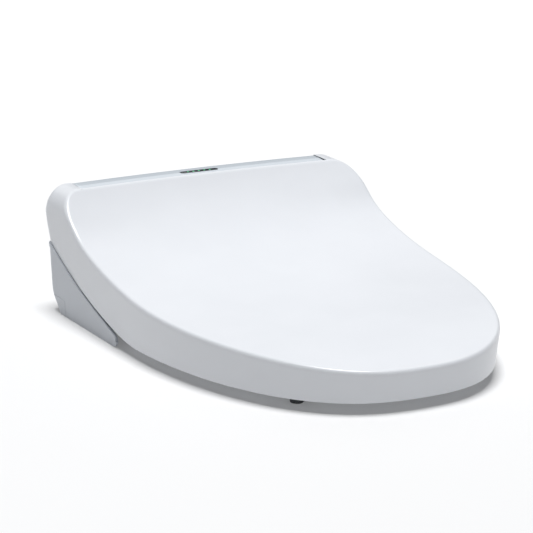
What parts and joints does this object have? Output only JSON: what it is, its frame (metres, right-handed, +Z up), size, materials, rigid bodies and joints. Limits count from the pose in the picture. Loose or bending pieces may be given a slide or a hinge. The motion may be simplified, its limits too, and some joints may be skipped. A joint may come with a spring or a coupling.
{
  "type": "electric bidet seat",
  "caption": "Electric bidet seat with a sloping soft-close lid and heated ring seat hinged on a low rear unit that holds a sliding spray nozzle, warm air outlet and service hatch",
  "frame": {"origin": "midway between the two fixing bolts, on the underside of the mounting pad, in the plane of the bowl's rim", "axes": "+Z up, -Y towards the front of the lid, +X to the right seen from the front"},
  "size_m": [0.381, 0.5305, 0.1426],
  "materials": {
    "gloss_white": "polished white plastic",
    "case_plastic": "satin pale grey-white plastic",
    "cover_plastic": "glossy bluish pale grey plastic",
    "window_plastic": "dark translucent indicator window",
    "inner_plastic": "moulded natural grey plastic",
    "dark_plastic": "fine textured dark plastic",
    "rubber": "soft grey rubber",
    "steel": "brushed stainless steel",
    "brass": "machined brass",
    "board": "green lacquered circuit board",
    "carbon": "porous black carbon block",
    "heater_foil": "thin amber heater foil"
  },
  "bodies": {
    "mounting_plate": {"base_pad": "rubber", "base_plate": "inner_plastic", "bolt_guide_left": "dark_plastic", "bolt_guide_right": "dark_plastic"},
    "main_unit": {"bottom_case": "case_plastic", "rear_cover": "case_plastic", "top_cover": "cover_plastic", "display_window": "window_plastic", "side_panel_left": "case_plastic", "side_panel_right": "case_plastic", "unit_foot_front_left": "rubber", "unit_foot_front_right": "rubber", "unit_foot_rear_left": "rubber", "unit_foot_rear_right": "rubber", "hinge_pin_left": "steel", "hinge_pin_right": "steel", "lid_damper": "dark_plastic", "seat_damper": "dark_plastic", "heater_tank": "inner_plastic", "water_pump": "dark_plastic", "solenoid_valve": "inner_plastic", "water_inlet": "brass", "drain_plug": "dark_plastic", "blower_housing": "dark_plastic", "fan_motor": "steel", "fan_shaft": "steel", "air_duct": "inner_plastic", "control_board": "board", "cord_gland": "dark_plastic", "nozzle_housing": "inner_plastic", "nozzle_motor": "steel"},
    "seat": {"seat_upper": "gloss_white", "seat_lower": "case_plastic", "seat_heater": "heater_foil", "seat_bumper_front_left": "rubber", "seat_bumper_front_right": "rubber", "seat_bumper_rear_left": "rubber", "seat_bumper_rear_right": "rubber"},
    "lid": {"lid_shell": "gloss_white", "lid_bumper_front_left": "rubber", "lid_bumper_front_right": "rubber", "lid_bumper_rear_left": "rubber", "lid_bumper_rear_right": "rubber"},
    "nozzle": {"nozzle_wand": "gloss_white", "nozzle_tip": "steel"},
    "nozzle_gear": {"drive_gear": "inner_plastic"},
    "air_flap": {"dryer_flap": "case_plastic"},
    "fan": {"fan_impeller": "inner_plastic"},
    "service_hatch": {"drain_cover": "case_plastic"},
    "filter": {"filter_drawer": "case_plastic", "deodoriser_filter": "carbon"},
    "release": {"release_button": "case_plastic"},
    "power": {"power_button": "case_plastic"}
  },
  "joints": [
    {"name": "unit_slide", "type": "slide", "parent": "mounting_plate", "child": "main_unit", "axis": [0, -1, 0], "range_m": [0, 0.06]},
    {"name": "seat_hinge", "type": "hinge", "parent": "main_unit", "child": "seat", "pos_m": [0, 0.041, 0.11], "axis": [-1, 0, 0], "range_deg": [0, 95]},
    {"name": "lid_hinge", "type": "hinge", "parent": "seat", "child": "lid", "pos_m": [0, 0.041, 0.11], "axis": [1, 0, 0], "range_deg": [-100, 0]},
    {"name": "nozzle_slide", "type": "slide", "parent": "main_unit", "child": "nozzle", "axis": [0, -0.9781, -0.2079], "range_m": [0, 0.085]},
    {"name": "gear_spin", "type": "hinge", "parent": "main_unit", "child": "nozzle_gear", "pos_m": [0, -0.0919, 0.0475], "axis": [-1, 0, 0], "range_deg": [0, 615]},
    {"name": "air_flap_hinge", "type": "hinge", "parent": "main_unit", "child": "air_flap", "pos_m": [0.06, -0.1196, 0.0222], "axis": [-1, 0, 0], "range_deg": [0, 60]},
    {"name": "fan_spin", "type": "hinge", "parent": "main_unit", "child": "fan", "pos_m": [0.095, -0.02, 0.05], "axis": [1, 0, 0], "continuous": true},
    {"name": "hatch_pull", "type": "slide", "parent": "main_unit", "child": "service_hatch", "axis": [-1, 0, 0], "range_m": [0, 0.015]},
    {"name": "filter_pull", "type": "slide", "parent": "main_unit", "child": "filter", "axis": [1, 0, 0], "range_m": [0, 0.024]},
    {"name": "release_press", "type": "slide", "parent": "main_unit", "child": "release", "axis": [-1, 0, 0], "range_m": [0, 0.003], "stiffness_N_per_m": 400},
    {"name": "power_press", "type": "slide", "parent": "main_unit", "child": "power", "axis": [-1, 0, 0], "range_m": [0, 0.0015], "stiffness_N_per_m": 500}
  ],
  "couplings": [
    {"joint": "gear_spin", "follows": "nozzle_slide", "rad_per_m": 125}
  ]
}
